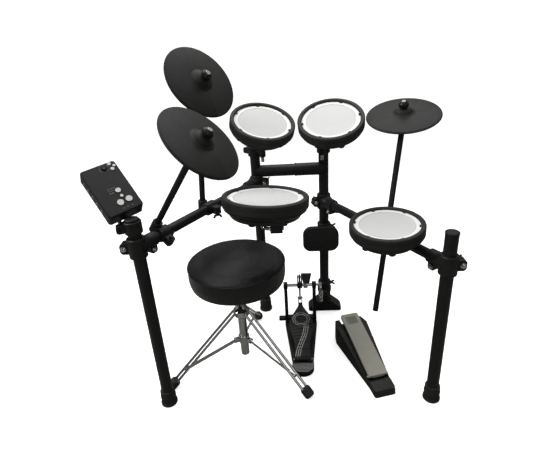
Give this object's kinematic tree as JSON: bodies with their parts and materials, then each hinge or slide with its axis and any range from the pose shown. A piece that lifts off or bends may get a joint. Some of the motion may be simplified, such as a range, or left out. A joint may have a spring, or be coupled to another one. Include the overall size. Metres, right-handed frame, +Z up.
{
  "type": "electronic drum kit",
  "caption": "Electronic drum kit: mesh-headed pads, rubber cymbal pads and a sound module on a black tube rack, with kick pad, two foot pedals and a round padded throne.",
  "frame": {"origin": "on the floor under the middle of the kit's box", "axes": "+X to the player's right, +Y away from the player, +Z up"},
  "size_m": [1.158, 0.7202, 1.1708],
  "materials": {
    "black_tube": "satin black powder coat",
    "clamp_plastic": "fine moulded grain",
    "black_hardware": "black with worn edges",
    "black_rubber": "matte",
    "cymbal_rubber": "matte, fine grain",
    "mesh_head": "woven mesh in a white hoop",
    "pad_plastic": "moulded",
    "module_plastic": "satin",
    "button_grey": "pale grey",
    "chrome": "polished",
    "cast_alloy": "cast, brushed high edges",
    "board_grey": "grey, fine grain",
    "felt": "dark felt with a pale striking face",
    "seat_vinyl": "black vinyl with soft sheen",
    "steel": "plated"
  },
  "bodies": {
    "rack": {"leg_tubes": "black_tube", "post_tubes": "black_tube", "arm_tubes": "black_tube", "crossbar": "black_tube", "tube_caps": "clamp_plastic", "rubber_feet": "black_rubber", "kick_stand_foot": "clamp_plastic", "tee_clamps": "clamp_plastic", "rod_clamps": "clamp_plastic", "wing_screws": "black_hardware", "l_rods": "black_hardware", "cymbal_rods": "black_tube", "cymbal_tilters": "black_hardware", "cymbal_nuts": "black_hardware", "module_bracket": "clamp_plastic", "kick_pad_face": "black_rubber", "kick_pad_housing": "clamp_plastic", "kick_base": "black_tube", "kick_uprights": "black_tube", "return_spring": "steel", "pedal_pins": "steel", "hat_base": "black_tube", "hat_heel": "black_rubber", "throne_column": "chrome", "throne_legs": "chrome", "throne_braces": "chrome"},
    "hihat": {"hihat_pad": "cymbal_rubber"},
    "crash": {"crash_pad": "cymbal_rubber"},
    "ride": {"ride_pad": "cymbal_rubber"},
    "module": {"module_case": "module_plastic", "module_plate": "black_hardware"},
    "dial": {"module_dial": "pad_plastic"},
    "footboard": {"kick_footboard": "cast_alloy"},
    "link": {"kick_link": "black_hardware"},
    "beater": {"kick_axle": "chrome", "beater_rod": "chrome", "beater_head": "felt"},
    "control_board": {"hat_board": "board_grey"},
    "seat_post": {"throne_post": "chrome"},
    "seat": {"throne_seat": "seat_vinyl", "throne_seat_plate": "steel"},
    "snare": {"snare_body": "pad_plastic", "snare_rim": "black_rubber", "snare_head": "mesh_head"},
    "tom_1": {"tom_1_body": "pad_plastic", "tom_1_rim": "black_rubber", "tom_1_head": "mesh_head"},
    "tom_2": {"tom_2_body": "pad_plastic", "tom_2_rim": "black_rubber", "tom_2_head": "mesh_head"},
    "tom_3": {"tom_3_body": "pad_plastic", "tom_3_rim": "black_rubber", "tom_3_head": "mesh_head"},
    "button_1": {"module_button_1": "button_grey"},
    "button_2": {"module_button_2": "button_grey"},
    "button_3": {"module_button_3": "button_grey"},
    "button_4": {"module_button_4": "button_grey"},
    "button_5": {"module_button_5": "button_grey"},
    "button_6": {"module_button_6": "button_grey"},
    "button_7": {"module_button_7": "button_grey"}
  },
  "joints": [
    {"name": "hihat_rock", "type": "hinge", "parent": "rack", "child": "hihat", "pos_m": [-0.17843, -0.24035, 0.946], "axis": [-0.6886, 0.1422, 0.711], "range_deg": [-8, 8], "stiffness_Nm_per_rad": 4},
    {"name": "crash_rock", "type": "hinge", "parent": "rack", "child": "crash", "pos_m": [-0.21743, 0.05865, 1.07], "axis": [-0.5523, 0.1635, 0.8175], "range_deg": [-8, 8], "stiffness_Nm_per_rad": 4},
    {"name": "ride_rock", "type": "hinge", "parent": "rack", "child": "ride", "pos_m": [0.45157, 0.14265, 0.918], "axis": [-0.9922, -0.0245, -0.1223], "range_deg": [-8, 8], "stiffness_Nm_per_rad": 4},
    {"name": "snare_tilt", "type": "hinge", "parent": "rack", "child": "snare", "pos_m": [-0.00068, -0.05946, 0.59067], "axis": [0.987, 0.1437, -0.0714], "range_deg": [-12, 12]},
    {"name": "tom_1_tilt", "type": "hinge", "parent": "rack", "child": "tom_1", "pos_m": [-0.09638, 0.26233, 0.91842], "axis": [0.8713, 0.4907, -0.0005], "range_deg": [-15, 15]},
    {"name": "tom_2_tilt", "type": "hinge", "parent": "rack", "child": "tom_2", "pos_m": [0.22752, 0.26295, 0.91946], "axis": [0.9781, -0.208, -0.0001], "range_deg": [-15, 15]},
    {"name": "tom_3_tilt", "type": "hinge", "parent": "rack", "child": "tom_3", "pos_m": [0.40858, -0.0438, 0.59502], "axis": [0.866, -0.5, -0.0011], "range_deg": [-20, 3]},
    {"name": "module_tilt", "type": "hinge", "parent": "rack", "child": "module", "pos_m": [-0.47313, -0.1801, 0.71588], "axis": [0.7278, 0.6742, 0.1252], "range_deg": [-15, 6]},
    {"name": "volume_dial", "type": "hinge", "parent": "module", "child": "dial", "pos_m": [-0.50646, -0.14827, 0.85404], "axis": [-0.3697, 0.5396, -0.7564], "range_deg": [-140, 140]},
    {"name": "button_1_press", "type": "slide", "parent": "module", "child": "button_1", "axis": [-0.3697, 0.5396, -0.7564], "range_m": [0, 0.0012], "stiffness_N_per_m": 400, "springref_m": -0.0005},
    {"name": "button_2_press", "type": "slide", "parent": "module", "child": "button_2", "axis": [-0.3697, 0.5396, -0.7564], "range_m": [0, 0.0012], "stiffness_N_per_m": 400, "springref_m": -0.0005},
    {"name": "button_3_press", "type": "slide", "parent": "module", "child": "button_3", "axis": [-0.3697, 0.5396, -0.7564], "range_m": [0, 0.0012], "stiffness_N_per_m": 400, "springref_m": -0.0005},
    {"name": "button_4_press", "type": "slide", "parent": "module", "child": "button_4", "axis": [-0.3697, 0.5396, -0.7564], "range_m": [0, 0.0012], "stiffness_N_per_m": 400, "springref_m": -0.0005},
    {"name": "button_5_press", "type": "slide", "parent": "module", "child": "button_5", "axis": [-0.3697, 0.5396, -0.7564], "range_m": [0, 0.0012], "stiffness_N_per_m": 400, "springref_m": -0.0005},
    {"name": "button_6_press", "type": "slide", "parent": "module", "child": "button_6", "axis": [-0.3697, 0.5396, -0.7564], "range_m": [0, 0.0012], "stiffness_N_per_m": 400, "springref_m": -0.0005},
    {"name": "button_7_press", "type": "slide", "parent": "module", "child": "button_7", "axis": [-0.3697, 0.5396, -0.7564], "range_m": [0, 0.0012], "stiffness_N_per_m": 400, "springref_m": -0.0005},
    {"name": "kick_board", "type": "hinge", "parent": "rack", "child": "footboard", "pos_m": [0.07457, -0.07335, 0.03], "axis": [-1, 0, 0], "range_deg": [0, 6.36], "stiffness_Nm_per_rad": 40, "springref_deg": -6.88},
    {"name": "kick_beater", "type": "hinge", "parent": "rack", "child": "beater", "pos_m": [0.07457, 0.2164, 0.185], "axis": [-1, 0, 0], "range_deg": [0, 50.5], "deforming": ["return_spring"]},
    {"name": "drive_link", "type": "hinge", "parent": "footboard", "child": "link", "pos_m": [0.07457, 0.25775, 0.08889], "axis": [-1, 0, 0], "range_deg": [-10.86, 0]},
    {"name": "control_board", "type": "hinge", "parent": "rack", "child": "control_board", "pos_m": [0.34308, -0.16726, 0.034], "axis": [-0.9659, -0.2588, 0], "range_deg": [0, 7], "stiffness_Nm_per_rad": 20, "springref_deg": -6.88},
    {"name": "throne_height", "type": "slide", "parent": "rack", "child": "seat_post", "axis": [0, 0, 1], "range_m": [-0.05, 0.09]},
    {"name": "seat_swivel", "type": "hinge", "parent": "seat_post", "child": "seat", "pos_m": [-0.14943, -0.05835, 0.412], "axis": [0, 0, 1], "continuous": true}
  ],
  "couplings": [
    {"joint": "kick_beater", "follows": "kick_board", "ratio": 7.8597},
    {"joint": "drive_link", "follows": "kick_board", "ratio": -1.6252}
  ]
}
